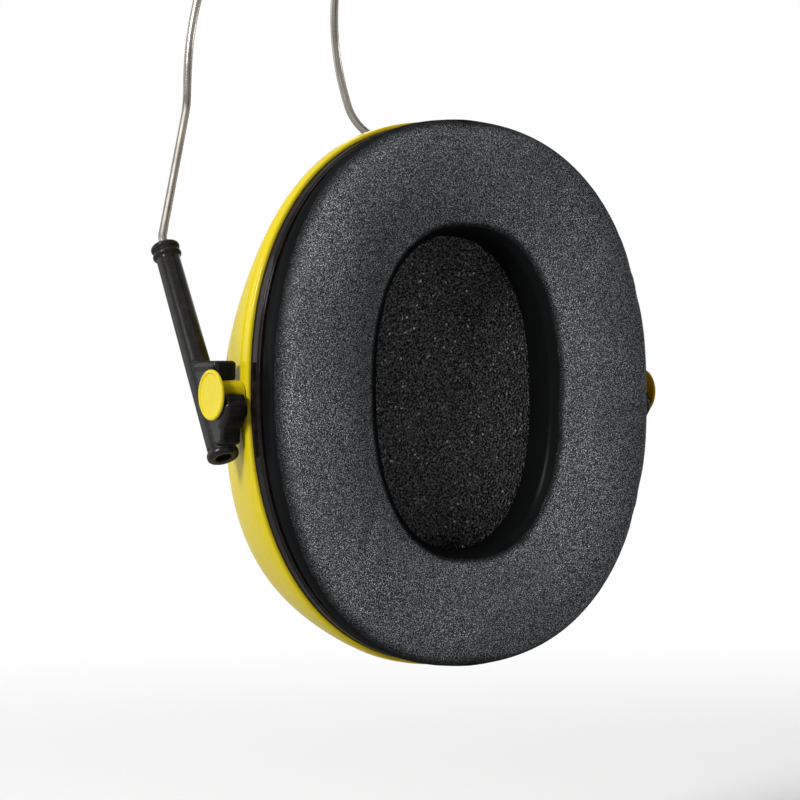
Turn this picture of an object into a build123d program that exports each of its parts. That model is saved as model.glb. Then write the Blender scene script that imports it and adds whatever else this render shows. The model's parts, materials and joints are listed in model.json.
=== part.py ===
from build123d import *
from math import copysign, cos, degrees, pi, radians, sin, tan
import os

# Earmuff hearing protector: two cups on a two-wire headband.
# X runs from ear to ear, the wearer faces -Y and +Z is up. The origin lies midway
# between the cups, on the line through their pivots. Millimetres.
#
# Each cup is drawn in its own frame: x along the cushion's normal towards the head,
# y from front to back, z up, with the origin at the centre of the shell's rim.

# ---- Cup shell ----
RIM_HALF_WIDTH = 44.85
RIM_HALF_HEIGHT = 53.5
OUTLINE_POWER = 2.25
BACK_POWER = 2.95
SHELL_DEPTH = 39.0
SHELL_WALL = 2.2
RIM_BAND = 2.5
SIDE_DOME_START = 1.0
SIDE_DOME_END = 4.4
TOP_DOME_START = 1.3
TOP_DOME_END = 0.8
BOTTOM_DOME_START = 1.1
BOTTOM_DOME_END = 5.0
LABEL_STEP = 1.9
OUTLINE_POINTS = 32

# ---- Pivot studs and holder clips ----
STUD_SETBACK = 3.0
NECK_RADIUS = 2.75
HEAD_RADIUS = 4.8
HEAD_THICKNESS = 0.65
HEAD_DISH = 0.25
SHANK_RADIUS = 2.0
BEAD_RADIUS = 2.6
BEAD_LENGTH = 0.9
CLIP_STAND_OFF = 0.75
CLIP_THICKNESS = 4.8
CLIP_RADIUS = 6.3
CLIP_MOUTH = 3.0
CLIP_LEAD_IN = 7.5
TUBE_LEAN = 29.5
TUBE_OFFSET = 7.06
TUBE_ABOVE = 38.0
TUBE_BELOW = 9.8
TUBE_TOP_RADIUS = 2.35
TUBE_BOTTOM_RADIUS = 2.7
FLANGE_RADIUS = 2.9
FLANGE_HEIGHT = 1.0
FLANGE_PITCH = 1.9
FOOT_RADIUS = 3.1
FOOT_HEIGHT = 1.6
GROOVE = 0.35

# ---- Headband wires ----
WIRE_RADIUS = 0.9
BEND_OUT = 54.9
BEND_HEIGHT = 59.9
BEND_SPREAD = 25.2
SHOULDER_OUT = 63.0
SHOULDER_HEIGHT = 104.0
CROWN_SPREAD = 16.0
CROWN_SLOPE = 24.0
CROWN_RADIUS = 190.0
BEND_RADIUS = 12.0
LEG_BELOW_SHOULDER = 6.2
KINK_RADIUS = 4.0
KINK_RISE = 1.8
END_SHORT = 2.0

# ---- Sealing ring ----
PLATE_THICKNESS = 3.0
PLATE_INSET = 0.65
SKIRT_DEPTH = 2.5
SKIRT_WALL = 1.5
SKIRT_NOTCH = 6.5
CUSHION_INSET = 0.5
CUSHION_FRONT = 12.0
CUSHION_BACK_INSET = 1.3
CUSHION_CROWN_INSET = 8.5
OPENING_HALF_WIDTH = 20.2
OPENING_HALF_HEIGHT = 31.0
OPENING_POWER = 2.4
OPENING_FLARE = 6.0
SKIN = 0.9

# ---- Headband pad ----
PAD_SPAN = 45.6
CARRIER_PLATE = 1.8
CARRIER_TUBE_RADIUS = 2.3
FOAM_THICKNESS = 6.0
FOAM_HALF_WIDTH = 18.5
SLEEVE_WALL = 1.0
SLEEVE_CORNER = 3.0

# ---- Stance ----
CUSHION_GAP = 105.0
TOE_OUT = 15.5

# ---- Clearances ----
RUNNING = 0.05
PRESS = 0.01
EASE = 0.3
CUT_MARGIN = 1.0

HANDS = {"left": 1, "right": -1}
FACES = {"front": -1, "rear": 1}

# Where things lie in the cup's frame
clip_inner = RIM_HALF_WIDTH + CLIP_STAND_OFF
clip_outer = clip_inner + CLIP_THICKNESS
tube_side = clip_outer - TUBE_BOTTOM_RADIUS - 2 * RUNNING
stud_point = Vector(-STUD_SETBACK, 0, 0)
along = Vector(-sin(radians(TUBE_LEAN)), 0, cos(radians(TUBE_LEAN)))
across = Vector(-along.Z, 0, along.X)
tube_foot = stud_point + across * TUBE_OFFSET
kink_point = tube_foot + along * (TUBE_ABOVE + KINK_RISE)
wire_end = tube_foot - along * (TUBE_BELOW - END_SHORT)

# Where the left cup stands in the whole object
cup_x = -(CUSHION_GAP / 2 + CUSHION_FRONT * cos(radians(TOE_OUT)))
cup_y = kink_point.X * sin(radians(TOE_OUT))
cup_place = Location((cup_x, cup_y, 0), (0, 0, -TOE_OUT))

# The crown of the wires is one arc about a line along Y
crown_corner_z = SHOULDER_HEIGHT + (SHOULDER_OUT - cup_x) * tan(radians(CROWN_SLOPE))
crown_axis_z = crown_corner_z - CROWN_RADIUS / cos(radians(CROWN_SLOPE))


def save(name, shape):
    """Write one node to its STEP file."""
    shape.label = name
    export_step(shape, f"parts/{name}.step")


def oval(x, half_width, up, down, power):
    """Superellipse face at x whose top and bottom stand up and down from its widest line."""
    points = []
    for step in range(OUTLINE_POINTS):
        angle = 2 * pi * (step / OUTLINE_POINTS - 0.25)
        half_height = up if sin(angle) > 0 else down
        y = copysign(abs(cos(angle)) ** (2 / power), cos(angle)) * half_width
        z = copysign(abs(sin(angle)) ** (2 / power), sin(angle)) * half_height
        points.append((x, y, z))
    return make_face(Spline(*points, periodic=True))


def prism(x_from, x_to, half_width, half_height, power):
    """Straight superellipse block between two planes."""
    face = oval(x_from, half_width, half_height, half_height, power)
    return extrude(face, amount=x_to - x_from, dir=(1, 0, 0))


def stack(stations, half_width, half_height, power):
    """Smooth solid through (x, inset) stations of one superellipse."""
    faces = [
        oval(x, half_width - inset, half_height - inset, half_height - inset, power)
        for x, inset in stations
    ]
    return loft(faces)


def dome_shares(part):
    """Shares of the rim's half width, top and bottom that are left at a part of the depth."""
    curves = [
        (SIDE_DOME_START, SIDE_DOME_END),
        (TOP_DOME_START, TOP_DOME_END),
        (BOTTOM_DOME_START, BOTTOM_DOME_END),
    ]
    return [(1 - part**start) ** (1 / end) for start, end in curves]


def dome(half_width, half_height, depth):
    """Shell volume: a straight band at the rim, then a dome that is fuller below."""
    faces = []
    label_land = 1 - LABEL_STEP / (depth - RIM_BAND)
    for part in (0, 0.1, 0.2, 0.35, 0.5, 0.65, 0.78, 0.88, label_land):
        side, top, bottom = dome_shares(part)
        power = OUTLINE_POWER + (BACK_POWER - OUTLINE_POWER) * part
        x = -RIM_BAND - part * (depth - RIM_BAND)
        faces.append(oval(x, half_width * side, half_height * top, half_height * bottom, power))
    band = prism(-RIM_BAND, 0, half_width, half_height, OUTLINE_POWER)
    return loft(faces) + band


def rod(radius, y_from, y_to, centre=stud_point):
    """Cylinder along Y between two values of y."""
    plane = Plane((centre.X, y_from, centre.Z), x_dir=(1, 0, 0), z_dir=(0, 1, 0))
    return extrude(plane * Circle(radius), amount=y_to - y_from)


def cup_shell():
    """Moulded cup with a hole for each pivot stud."""
    outside = dome(RIM_HALF_WIDTH, RIM_HALF_HEIGHT, SHELL_DEPTH)
    inside = dome(
        RIM_HALF_WIDTH - SHELL_WALL, RIM_HALF_HEIGHT - SHELL_WALL, SHELL_DEPTH - SHELL_WALL
    )
    reach = RIM_HALF_WIDTH + SHELL_WALL
    return outside - inside - rod(SHANK_RADIUS + PRESS, -reach, reach)


def pivot_stud(face):
    """Button-headed stud pressed through the shell's side wall."""
    wall_outer = RIM_HALF_WIDTH + 2 * RUNNING
    bead_part = (STUD_SETBACK + BEAD_RADIUS - RIM_BAND) / (SHELL_DEPTH - SHELL_WALL - RIM_BAND)
    wall_inner = (RIM_HALF_WIDTH - SHELL_WALL) * dome_shares(bead_part)[0] - RUNNING
    head_base = clip_outer + 3 * RUNNING
    head_face = head_base + HEAD_THICKNESS
    stud = rod(SHANK_RADIUS, face * (wall_inner - BEAD_LENGTH), face * wall_outer)
    stud += rod(BEAD_RADIUS, face * (wall_inner - BEAD_LENGTH), face * wall_inner)
    stud += rod(NECK_RADIUS, face * wall_outer, face * head_base)
    stud += rod(HEAD_RADIUS, face * head_base, face * head_face)
    bowl_radius = (HEAD_RADIUS**2 / HEAD_DISH + HEAD_DISH) / 2
    bowl_y = face * (head_face + bowl_radius - HEAD_DISH * 0.8)
    return stud - Pos(stud_point.X, bowl_y, stud_point.Z) * Sphere(bowl_radius)


def turned(profile):
    """Solid of revolution about the holder's tube, from (radius, height) points."""
    outline = make_face(Polyline(*profile, close=True))
    body = revolve(outline, Axis.Y)
    plane = Plane(tube_foot, x_dir=across, z_dir=across.cross(along))
    return plane.location * body


def holder(face):
    """Sliding tube with a snap clip that grips the stud's neck."""
    top, bottom = TUBE_ABOVE, -TUBE_BELOW
    neck_height = top - FLANGE_PITCH
    foot_top = bottom + FOOT_HEIGHT
    profile = [
        (0, bottom),
        (FOOT_RADIUS, bottom),
        (FOOT_RADIUS, foot_top),
        (TUBE_BOTTOM_RADIUS - GROOVE, foot_top),
        (TUBE_BOTTOM_RADIUS - GROOVE, foot_top + GROOVE),
        (TUBE_BOTTOM_RADIUS, foot_top + GROOVE),
        (TUBE_TOP_RADIUS, neck_height - FLANGE_HEIGHT),
        (FLANGE_RADIUS, neck_height - FLANGE_HEIGHT),
        (FLANGE_RADIUS, neck_height),
        (TUBE_TOP_RADIUS, neck_height),
        (TUBE_TOP_RADIUS, top - FLANGE_HEIGHT),
        (FLANGE_RADIUS, top - FLANGE_HEIGHT),
        (FLANGE_RADIUS, top - FLANGE_HEIGHT / 2),
        (WIRE_RADIUS + 2 * RUNNING, top),
        (0, top),
    ]
    tube = Pos(0, face * tube_side, 0) * turned(profile)

    # Plate of the clip: a disc round the stud and a web out to the tube
    web_top = tube_foot + along * ((CLIP_RADIUS - tube_foot.Z) / along.Z)
    web_foot = tube_foot + along * (foot_top + GROOVE)
    corners = [
        stud_point + Vector(0, 0, CLIP_RADIUS),
        web_top,
        web_foot,
        web_foot - across * FOOT_RADIUS,
        stud_point + Vector(cos(radians(60)), 0, -sin(radians(60))) * CLIP_RADIUS,
        stud_point,
    ]
    web = extrude(
        make_face(Polyline(*[(p.X, clip_inner * face, p.Z) for p in corners], close=True)),
        amount=CLIP_THICKNESS,
        dir=(0, face, 0),
    )
    ring = rod(CLIP_RADIUS, face * clip_inner, face * clip_outer)

    # The mouth opens away from the tube, with a flared lead-in
    throat, lip = CLIP_MOUTH / 2, CLIP_LEAD_IN / 2
    neck_reach = NECK_RADIUS + (CLIP_RADIUS - NECK_RADIUS) * 0.35
    mouth = [
        stud_point + along * throat,
        stud_point + along * throat - across * neck_reach,
        stud_point + along * lip - across * (CLIP_RADIUS + CUT_MARGIN),
        stud_point - along * lip - across * (CLIP_RADIUS + CUT_MARGIN),
        stud_point - along * throat - across * neck_reach,
        stud_point - along * throat,
    ]
    reach = 2 * FOOT_RADIUS
    gap = extrude(
        make_face(Polyline(*[(p.X, (clip_inner - reach) * face, p.Z) for p in mouth], close=True)),
        amount=CLIP_THICKNESS + 2 * reach,
        dir=(0, face, 0),
    )
    bore_plane = Plane(tube_foot + Vector(0, face * tube_side, 0), z_dir=along)
    bore_length = TUBE_ABOVE + CUT_MARGIN
    bore = extrude(bore_plane * Circle(WIRE_RADIUS + RUNNING), amount=bore_length, both=True)
    neck_hole = rod(NECK_RADIUS + RUNNING, face * (clip_inner - reach), face * (clip_outer + reach))
    return tube + web + ring - gap - bore - neck_hole


def seal_backplate():
    """Rigid ring with a notched skirt that snaps into the shell."""
    plate = prism(
        0, PLATE_THICKNESS, RIM_HALF_WIDTH - PLATE_INSET, RIM_HALF_HEIGHT - PLATE_INSET, OUTLINE_POWER
    )
    skirt_width = RIM_HALF_WIDTH - SHELL_WALL - EASE
    skirt_height = RIM_HALF_HEIGHT - SHELL_WALL - 4 * EASE
    skirt = prism(-SKIRT_DEPTH, 0, skirt_width, skirt_height, OUTLINE_POWER)
    skirt -= prism(
        -SKIRT_DEPTH, 0, skirt_width - SKIRT_WALL, skirt_height - SKIRT_WALL, OUTLINE_POWER
    )
    skirt -= Pos(-SKIRT_DEPTH / 2, 0, 0) * Box(SKIRT_DEPTH, 2 * RIM_HALF_WIDTH, 2 * SKIRT_NOTCH)
    opening = prism(
        -SKIRT_DEPTH,
        PLATE_THICKNESS,
        OPENING_HALF_WIDTH + SKIN + EASE,
        OPENING_HALF_HEIGHT + SKIN + EASE,
        OPENING_POWER,
    )
    return plate + skirt - opening


def cushion(shrink):
    """Cushion ring drawn in by an even amount, from the back plate to its front."""
    front = CUSHION_FRONT - shrink
    rise = front - PLATE_THICKNESS
    outer = [
        (PLATE_THICKNESS, CUSHION_BACK_INSET + shrink),
        (PLATE_THICKNESS + rise * 0.3, shrink),
        (PLATE_THICKNESS + rise * 0.65, CUSHION_CROWN_INSET * 0.14 + shrink),
        (PLATE_THICKNESS + rise * 0.88, CUSHION_CROWN_INSET * 0.47 + shrink),
        (front, CUSHION_CROWN_INSET + shrink),
    ]
    inner = [
        (PLATE_THICKNESS, -shrink),
        (PLATE_THICKNESS + rise * 0.55, -shrink),
        (PLATE_THICKNESS + rise * 0.84, -OPENING_FLARE * 0.25 - shrink),
        (front, -OPENING_FLARE - shrink),
    ]
    half_width, half_height = RIM_HALF_WIDTH - CUSHION_INSET, RIM_HALF_HEIGHT - CUSHION_INSET
    body = stack(outer, half_width, half_height, OUTLINE_POWER)
    hole = stack(inner, OPENING_HALF_WIDTH, OPENING_HALF_HEIGHT, OPENING_POWER)
    return body - hole


def seal_cover():
    """Smooth and grained skin over the cushion foam, tucked into the plate's opening."""
    tuck = prism(
        0,
        PLATE_THICKNESS,
        OPENING_HALF_WIDTH + SKIN,
        OPENING_HALF_HEIGHT + SKIN,
        OPENING_POWER,
    )
    tuck -= prism(0, PLATE_THICKNESS, OPENING_HALF_WIDTH, OPENING_HALF_HEIGHT, OPENING_POWER)
    return cushion(0) - cushion(SKIN) + tuck


def seal_foam():
    """Soft foam ring inside the skin, standing on the back plate."""
    return cushion(SKIN + EASE / 3)


def absorber_foam():
    """Sound-absorbing foam block that fills the shell behind the plate."""
    width = RIM_HALF_WIDTH - SHELL_WALL - SKIRT_WALL - 2 * EASE
    height = RIM_HALF_HEIGHT - SHELL_WALL - SKIRT_WALL - 5 * EASE
    return Pos(-EASE, 0, 0) * dome(width, height, SHELL_DEPTH - SHELL_WALL - 2 * EASE)


def headband_wire(face):
    """One sprung wire from the left holders over the crown to the right holders."""
    half = []
    for point in (wire_end, kink_point):
        placed = cup_place * Pos(point.X, face * tube_side, point.Z)
        half.append(placed.position)
    half.append(Vector(cup_x - BEND_OUT, face * BEND_SPREAD, BEND_HEIGHT))
    half.append(Vector(cup_x - SHOULDER_OUT, face * CROWN_SPREAD, SHOULDER_HEIGHT))
    crown = Vector(0, face * CROWN_SPREAD, crown_corner_z)
    other = [Vector(-point.X, point.Y, point.Z) for point in reversed(half)]
    end, kink, bend, shoulder = half
    shoulder_turn = (shoulder - bend).get_angle(crown - shoulder)
    rounded_leg = (shoulder - bend).length - LEG_BELOW_SHOULDER
    shoulder_radius = rounded_leg / tan(radians(shoulder_turn / 2))
    radii = [KINK_RADIUS, BEND_RADIUS, shoulder_radius]
    path = FilletPolyline(*half, crown, *other, radius=[*radii, CROWN_RADIUS, *reversed(radii)])
    section = Plane(end, z_dir=kink - end) * Circle(WIRE_RADIUS)
    return sweep(section, path=path)


def crown_degrees(length):
    """Angle that a length takes up along the crown."""
    return degrees(length / CROWN_RADIUS)


def crown_arc(sketch, span):
    """Turn a sketch drawn as (y, height above the wires) about the crown's axis."""
    lift = crown_axis_z + CROWN_RADIUS
    upright = Plane((0, 0, lift), x_dir=(0, 1, 0), z_dir=(1, 0, 0))
    axis = Axis((0, 0, crown_axis_z), (0, 1, 0))
    return revolve((upright * sketch).rotate(axis, -span / 2), axis, revolution_arc=span)


def wire_channels(radius, span):
    """Round rods that follow both wires over the crown."""
    spots = Pos(-CROWN_SPREAD, 0) * Circle(radius) + Pos(CROWN_SPREAD, 0) * Circle(radius)
    return crown_arc(spots, span)


def headband_carrier():
    """Bendy strip with a channel along each edge for a wire."""
    strip = Rectangle(2 * CROWN_SPREAD, CARRIER_PLATE)
    body = crown_arc(strip, PAD_SPAN) + wire_channels(CARRIER_TUBE_RADIUS, PAD_SPAN)
    return body - wire_channels(WIRE_RADIUS + PRESS, PAD_SPAN + crown_degrees(2 * CUT_MARGIN))


def headband_foam():
    """Soft strip under the carrier."""
    centre = -CARRIER_TUBE_RADIUS - PRESS - FOAM_THICKNESS / 2
    strip = Pos(0, centre) * Rectangle(2 * FOAM_HALF_WIDTH, FOAM_THICKNESS)
    return crown_arc(strip, PAD_SPAN)


def headband_cover():
    """Sleeve round the carrier and its foam, closed at both ends."""
    over = CARRIER_TUBE_RADIUS + PRESS
    under = over + FOAM_THICKNESS + PRESS
    middle = (over - under) / 2
    half_width = max(FOAM_HALF_WIDTH, CROWN_SPREAD + CARRIER_TUBE_RADIUS) + PRESS
    room = Rectangle(2 * half_width, over + under)
    skin = RectangleRounded(
        2 * (half_width + SLEEVE_WALL), over + under + 2 * SLEEVE_WALL, SLEEVE_CORNER
    )
    sleeve_span = PAD_SPAN + crown_degrees(2 * SLEEVE_WALL)
    channel_span = sleeve_span + crown_degrees(2 * CUT_MARGIN)
    sleeve = crown_arc(Pos(0, middle) * skin, sleeve_span)
    sleeve -= crown_arc(Pos(0, middle) * room, PAD_SPAN)
    return sleeve - wire_channels(WIRE_RADIUS + RUNNING, channel_span)


os.makedirs("parts", exist_ok=True)

cup_pieces = {
    "cup_shell": cup_shell(),
    "seal_backplate": seal_backplate(),
    "seal_foam": seal_foam(),
    "seal_cover": seal_cover(),
    "absorber_foam": absorber_foam(),
}
for place, face in FACES.items():
    cup_pieces[f"{place}_pivot_stud"] = pivot_stud(face)
    cup_pieces[f"{place}_holder"] = holder(face)

for hand, sign in HANDS.items():
    for name, piece in cup_pieces.items():
        placed = cup_place * piece
        save(f"{hand}_{name}", placed if sign > 0 else mirror(placed, about=Plane.YZ))

for place, face in FACES.items():
    save(f"{place}_wire", headband_wire(face))

save("headband_carrier", headband_carrier())
save("headband_foam", headband_foam())
save("headband_cover", headband_cover())
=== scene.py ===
"""Earmuff hearing protector: two padded cups that turn in sliding clips on a two-wire headband."""
import json
import math

import bpy
import numpy as np
from mathutils import Matrix, Vector


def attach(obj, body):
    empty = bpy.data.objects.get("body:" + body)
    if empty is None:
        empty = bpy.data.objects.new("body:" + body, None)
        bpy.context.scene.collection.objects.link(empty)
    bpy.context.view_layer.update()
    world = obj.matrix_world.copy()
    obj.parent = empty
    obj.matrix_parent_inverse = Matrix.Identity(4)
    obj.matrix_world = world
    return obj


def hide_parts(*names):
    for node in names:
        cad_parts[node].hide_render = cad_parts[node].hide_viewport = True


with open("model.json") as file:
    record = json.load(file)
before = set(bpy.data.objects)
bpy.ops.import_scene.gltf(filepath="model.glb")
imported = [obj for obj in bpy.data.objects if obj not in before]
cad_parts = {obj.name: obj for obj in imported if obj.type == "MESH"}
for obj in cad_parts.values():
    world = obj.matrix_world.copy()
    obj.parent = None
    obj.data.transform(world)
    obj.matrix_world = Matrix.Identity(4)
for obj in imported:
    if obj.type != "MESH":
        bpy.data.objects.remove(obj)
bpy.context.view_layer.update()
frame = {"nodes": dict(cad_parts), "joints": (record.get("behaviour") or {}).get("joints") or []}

bl_info = {
    "name": "Earmuff hearing protector",
    "version": (1, 0, 0),
    "blender": (4, 5, 0),
    "location": "View3D > Sidebar > Earmuff",
    "description": "Builds the cups, cushions, clips, wires and crown pad round the packed model",
    "category": "Object",
}

MM = 0.001
TURN = 2 * math.pi
HANDS = ("left", "right")

# The sign of each face of a cup on its front-to-back direction.
FACES = {"front": -1, "rear": 1}

# Powers of the ovals at the rim, at the dome's end and at the cushion's opening, and the
# start and end with which the dome's half sizes close in.
OUTLINE_POWER = 2.25
BACK_POWER = 2.95
OPENING_POWER = 2.4
DOME_CURVES = {"side": (1.0, 4.4), "top": (1.3, 0.8), "bottom": (1.1, 5.0)}

# Where the map of a piece's surface is kept.
SURFACE = "Surface"

# The grid on which a holder's tube, clip and ribs are joined into one skin.
HOLDER_GRID = 0.2 * MM

# Cloth: how many times larger the copy is, its pressure, shrinking and number of steps.
CLOTH_SCALE = 10
CLOTH_PRESSURE = 4.0
CLOTH_SHRINK = -0.005
CLOTH_STEPS = 20

# The camera looks at the left cup's rim: its angle from the head's side towards the front,
# its roll, its distance, its shift to the left and down, and its lens on a 36 mm sensor.
CAMERA_BEARING = math.radians(48)
CAMERA_ROLL = math.radians(-0.6)
CAMERA_DISTANCE = 500 * MM
CAMERA_LEFT = 9.09 * MM
CAMERA_DOWN = 1.3 * MM
CAMERA_SENSOR = 36
CAMERA_LENS = 113.895

# The world is seen as white but lights dimly. Lamps are given as name, place, aim, size in
# metres and power in watts.
WHITE = (1, 1, 1, 1)
WORLD_STRENGTH = 0.06
LAMPS = (
    ("key_lamp", (-0.03, -1.0, 0.46), (-0.05, 0, 0), (0.25, 0.25), 13),
    ("rear_lamp", (0.72, 0.8, 0.2), (-0.05, 0, 0), (0.2, 0.2), 2.0),
    ("back_lamp", (-0.6, 0.95, 0.3), (0, 0, 0), (0.8, 0.8), 5),
    ("side_lamp", (-0.9, -0.5, 0.05), (-0.05, 0, 0), (0.8, 0.8), 3.2),
    ("top_lamp", (-0.35, -0.2, 0.98), (0, 0, 0), (0.7, 0.7), 5),
)

# ---------------------------------------------------------------- where things are

JOINTS = {joint["name"]: joint for joint in frame["joints"]}

# From the rim's plane back to the studs' axis.
STUD_SETBACK = 3.0 * MM

# The left cup's own directions and the middle of its rim.
PIVOT = np.array(JOINTS["left_cup_pivot"]["pos_m"], float)
BACK = -np.array(JOINTS["left_cup_pivot"]["axis"], float)
UP = np.array((0.0, 0.0, 1.0))
NORMAL = np.cross(BACK, UP)
RIM_CENTRE = PIVOT + STUD_SETBACK * NORMAL


def in_cup(points):
    """Cup coordinates (towards the head, front to back, up) as places in the left half."""
    x, y, z = np.moveaxis(np.asarray(points, float), -1, 0)[..., None]
    return RIM_CENTRE + x * NORMAL + y * BACK + z * UP


def for_hand(points, hand):
    """The same places in the left half, or mirrored into the right half."""
    return points if hand == "left" else points * (-1, 1, 1)


# ---------------------------------------------------------------- settings


def length(name, description, default):
    """A size in metres."""
    return bpy.props.FloatProperty(
        name=name, description=description, default=default, min=0, unit="LENGTH", precision=5
    )


def colour(name, description, default):
    """A colour without alpha."""
    return bpy.props.FloatVectorProperty(
        name=name, description=description, default=default, size=3, min=0, max=1, subtype="COLOR"
    )


def angle(name, description, degrees):
    """An angle, given in degrees."""
    return bpy.props.FloatProperty(
        name=name, description=description, default=math.radians(degrees), subtype="ANGLE"
    )


class EarmuffShell(bpy.types.PropertyGroup):
    """Sizes and colour of the moulded cups and their studs."""

    rim_half_width: length("Rim half width", "Half of the rim, front to back", 44.85 * MM)
    rim_half_height: length("Rim half height", "Half of the rim, bottom to top", 53.5 * MM)
    depth: length("Depth", "Depth of the full dome", 39 * MM)
    wall: length("Wall", "Thickness of the moulded wall", 2.2 * MM)
    band: length("Rim band", "Straight band at the rim", 2.5 * MM)
    land_step: length("Label land", "How much of the dome's tip is cut flat", 1.9 * MM)
    neck_radius: length("Neck radius", "Radius of the stud's neck", 2.75 * MM)
    head_radius: length("Head radius", "Radius of the stud's head", 4.8 * MM)
    head_thickness: length("Head thickness", "Thickness of the stud's head", 0.65 * MM)
    colour: colour("Yellow", "Colour of the moulded plastic", (0.53, 0.425, 0.008))


class EarmuffSeal(bpy.types.PropertyGroup):
    """Sizes and colours of the plate, the cushion and the foams."""

    plate: length("Plate", "Thickness of the back plate", 3 * MM)
    plate_inset: length("Plate inset", "How far the plate stands back from the rim", 0.65 * MM)
    front: length("Cushion front", "Height of the cushion over the rim", 12 * MM)
    inset: length("Inset", "How far the cushion stands back from the rim", 0.5 * MM)
    crown_inset: length("Crown inset", "From the cushion's side to the edge of its front", 8.5 * MM)
    opening_half_width: length("Opening half width", "Half of the opening's width", 20.2 * MM)
    opening_half_height: length("Opening half height", "Half of the opening's height", 31 * MM)
    lip_drop: length("Lip drop", "From the crown down to the lip of the opening", 5.5 * MM)
    skin: length("Skin", "Thickness of the foil with its backing", 0.9 * MM)
    skin_colour: colour("Skin colour", "Colour of the grained foil", (0.02, 0.0212, 0.0224))
    plate_colour: colour("Plate colour", "Colour of the gloss plate", (0.004, 0.0035, 0.0035))
    absorber_colour: colour("Absorber colour", "Colour of the absorber foam", (0.055, 0.055, 0.056))
    foam_colour: colour("Foam colour", "Colour of the soft foam", (0.09, 0.09, 0.095))


class EarmuffHolder(bpy.types.PropertyGroup):
    """Sizes and colour of the sliding tubes with their clips."""

    lean: angle("Lean", "Lean of the tube", 29.5)
    offset: length("Offset", "From the stud's axis to the tube's", 7.06 * MM)
    above: length("Above", "Tube above the stud", 38 * MM)
    below: length("Below", "Tube below the stud", 9.8 * MM)
    top_radius: length("Top radius", "Radius of the tube at its top", 2.35 * MM)
    bottom_radius: length("Bottom radius", "Radius of the tube at its foot", 2.7 * MM)
    flange_radius: length("Flange radius", "Radius of the rings at the top", 2.9 * MM)
    foot_radius: length("Foot radius", "Radius of the ring at the foot", 3.1 * MM)
    stand_off: length("Stand off", "From the rim to the clip", 0.75 * MM)
    thickness: length("Thickness", "Thickness of the clip", 4.8 * MM)
    clip_radius: length("Clip radius", "Radius of the clip round the stud", 6.3 * MM)
    colour: colour("Black", "Colour of the moulded holder", (0.007, 0.0065, 0.006))


class EarmuffBand(bpy.types.PropertyGroup):
    """Sizes and colours of the wires and the crown pad."""

    wire_radius: length("Wire radius", "Radius of the sprung wire", 0.9 * MM)
    bend_out: length("Bend out", "From the cup's centre out to the lower bend", 54.9 * MM)
    bend_height: length("Bend height", "Height of the lower bend", 59.9 * MM)
    bend_spread: length("Bend spread", "Half the wires' distance at the lower bend", 25.2 * MM)
    shoulder_out: length("Shoulder out", "From the cup's centre out to the shoulder", 63 * MM)
    shoulder_height: length("Shoulder height", "Height of the shoulder's corner", 104 * MM)
    crown_spread: length("Crown spread", "Half the wires' distance over the crown", 16 * MM)
    crown_radius: length("Crown radius", "Radius of the wires over the crown", 190 * MM)
    crown_slope: angle("Crown slope", "Slope of the wires beside the crown", 24)
    pad_span: angle("Pad span", "Angle that the pad takes up on the crown", 45.6)
    foam_thickness: length("Foam thickness", "Thickness of the crown foam", 6 * MM)
    foam_half_width: length("Foam half width", "Half of the crown foam's width", 18.5 * MM)
    steel: colour("Steel", "Colour of the wire", (0.27, 0.25, 0.215))
    sleeve_colour: colour("Sleeve", "Colour of the pad's foil", (0.016, 0.017, 0.018))


class EarmuffStage(bpy.types.PropertyGroup):
    """The floor and the light."""

    floor_drop: length("Floor drop", "From the pivots down to the floor", 110 * MM)
    floor_colour: colour("Floor", "Colour of the floor", (0.9, 0.9, 0.9))


# ---------------------------------------------------------------- shapes


def ovals(rows, columns=192):
    """Closed rings from rows of (x, half width, up, down, power).

    At angle t a ring lies where |y / half width|^power + |z / half height|^power is one. The
    half height is up above the widest line and down below it.
    """
    x, half, up, down, power = np.array(rows, float).T[:, :, None]
    t = np.arange(columns) / columns * TURN
    height = np.where(np.sin(t) > 0, up, down)
    reach = (abs(np.cos(t) / half) ** power + abs(np.sin(t) / height) ** power) ** (-1 / power)
    y = np.cos(t) * reach
    return np.stack([x + 0 * y, y, np.sin(t) * reach], -1)


def rounded(corners, radii, steps=5, closed=False):
    """Outline whose corners are arcs.

    An arc starts radius * tan(turn / 2) before its corner. Its points are the centre minus
    n * radius * cos(a) plus d * radius * sin(a), where d is the direction on the way in, n
    is the side that the outline turns to, and a runs from zero to the turn.
    """
    corners = np.array(corners, float)
    radii = np.array(radii, float)
    ahead = np.roll(corners, -1, 0) - corners
    ahead /= np.linalg.norm(ahead, axis=1)[:, None]
    before = np.roll(ahead, 1, 0)
    if not closed:
        radii[[0, -1]] = 0
    cosine = (before * ahead).sum(1)
    side = ahead - before * cosine[:, None]
    side /= np.maximum(np.linalg.norm(side, axis=1), 1e-9)[:, None]
    turn = np.where(radii > 0, np.arccos(np.clip(cosine, -1, 1)), 0)
    start = corners - before * (radii * np.tan(turn / 2))[:, None]
    centre = start + side * radii[:, None]
    a = (turn[:, None] * np.linspace(0, 1, steps + 1))[..., None]
    spoke, way = (side * radii[:, None])[:, None], (before * radii[:, None])[:, None]
    arcs = centre[:, None] - spoke * np.cos(a) + way * np.sin(a)
    arcs = arcs.reshape(-1, corners.shape[1])
    keep = np.linalg.norm(arcs - np.roll(arcs, 1, 0), axis=1) > 1e-7
    keep[0] = keep[0] or not closed
    return arcs[keep]


def distance_along(points):
    """Distance from the first point of a line to each of its points."""
    return np.concatenate([[0], np.cumsum(np.linalg.norm(np.diff(points, axis=0), axis=1))])


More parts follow.
